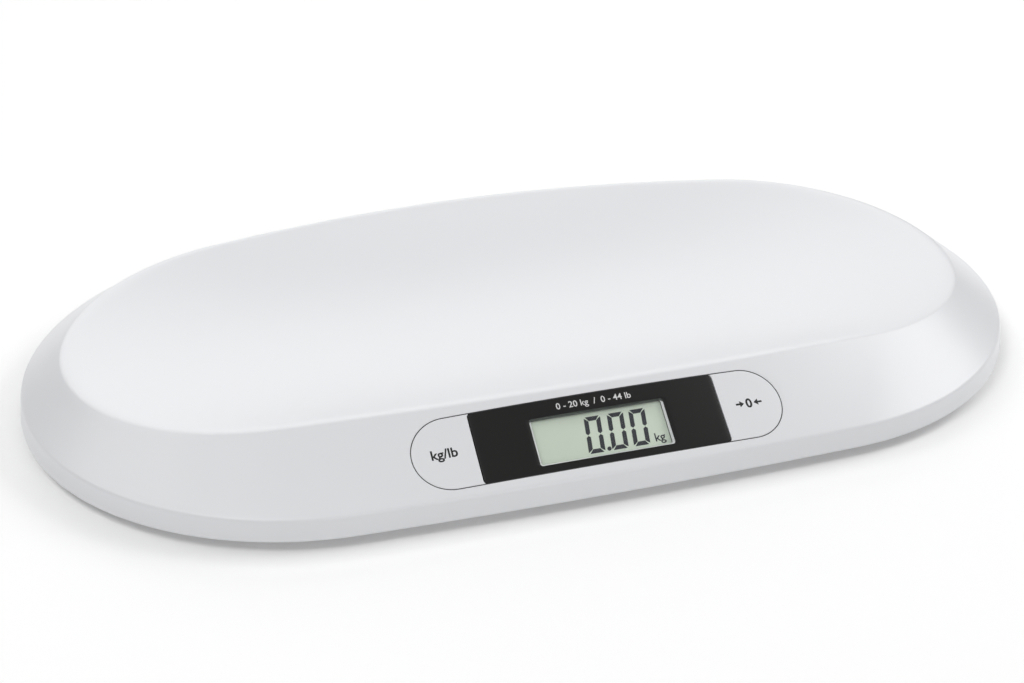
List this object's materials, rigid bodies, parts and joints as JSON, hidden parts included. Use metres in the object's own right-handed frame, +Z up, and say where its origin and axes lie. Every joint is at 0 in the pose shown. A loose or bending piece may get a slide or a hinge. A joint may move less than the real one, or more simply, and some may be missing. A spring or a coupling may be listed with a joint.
{
  "type": "digital baby weighing scale",
  "caption": "White baby weighing scale: long oval trough-shaped tray with a sloping skirt, a liquid crystal display and two D-shaped keys in front, load-cell feet and a battery door below.",
  "frame": {"origin": "on the table, under the middle of the scale's bounding box", "axes": "+X along the tray to the right as the user sees it, +Y to the back away from the display, +Z up"},
  "size_m": [0.55, 0.31, 0.0442],
  "materials": {
    "shell_white": "satin white ABS",
    "inner_white": "fine-grained white ABS",
    "key_white": "satin white ABS",
    "bezel_black": "satin black",
    "window_clear": "clear acrylic",
    "lcd_green": "pale grey-green liquid crystal glass",
    "board_green": "solder mask",
    "resin_black": "cured resin",
    "switch_black": "moulded",
    "zebra_rubber": "silicone",
    "steel": "plated",
    "battery_jacket": "plain printed jacket, no marks",
    "pad_rubber": "matt",
    "lead_white": "PVC",
    "lead_red": "PVC",
    "lead_black": "PVC"
  },
  "bodies": {
    "case": {"top_shell": "shell_white", "base_cover": "inner_white", "battery_1": "battery_jacket", "battery_2": "battery_jacket", "battery_3": "battery_jacket", "battery_4": "battery_jacket", "contact_plus": "steel", "contact_minus": "steel", "contact_bridge_1": "steel", "contact_bridge_2": "steel", "contact_bridge_3": "steel", "display_bezel": "bezel_black", "display_window": "window_clear", "lcd_glass": "lcd_green", "lcd_holder": "inner_white", "zebra_upper": "zebra_rubber", "zebra_lower": "zebra_rubber", "main_board": "board_green", "controller_chip": "resin_black", "board_screws": "steel", "unit_switch": "switch_black", "tare_switch": "switch_black", "load_cell_fl": "steel", "load_cell_fr": "steel", "load_cell_bl": "steel", "load_cell_br": "steel", "cell_holder_fl": "inner_white", "cell_holder_fr": "inner_white", "cell_holder_bl": "inner_white", "cell_holder_br": "inner_white", "cell_screws": "steel", "base_screws": "steel", "cell_lead_fl": "lead_white", "cell_lead_fr": "lead_white", "cell_lead_bl": "lead_white", "cell_lead_br": "lead_white", "battery_lead_plus": "lead_red", "battery_lead_minus": "lead_black", "foot_fl": "inner_white", "foot_pad_fl": "pad_rubber", "foot_fr": "inner_white", "foot_pad_fr": "pad_rubber", "foot_bl": "inner_white", "foot_pad_bl": "pad_rubber", "foot_br": "inner_white", "foot_pad_br": "pad_rubber"},
    "unit_key": {"unit_key": "key_white", "unit_plunger": "switch_black"},
    "tare_key": {"tare_key": "key_white", "tare_plunger": "switch_black"},
    "battery_door": {"battery_door": "inner_white"}
  },
  "joints": [
    {"name": "unit_key_press", "type": "slide", "parent": "case", "child": "unit_key", "axis": [0, 0.564, -0.8258], "range_m": [0, 0.0005], "stiffness_N_per_m": 4000},
    {"name": "tare_key_press", "type": "slide", "parent": "case", "child": "tare_key", "axis": [0, 0.564, -0.8258], "range_m": [0, 0.0005], "stiffness_N_per_m": 4000},
    {"name": "battery_door_swing", "type": "hinge", "parent": "case", "child": "battery_door", "pos_m": [0, 0.02175, 0.0077], "axis": [-1, 0, 0], "range_deg": [0, 75]}
  ]
}
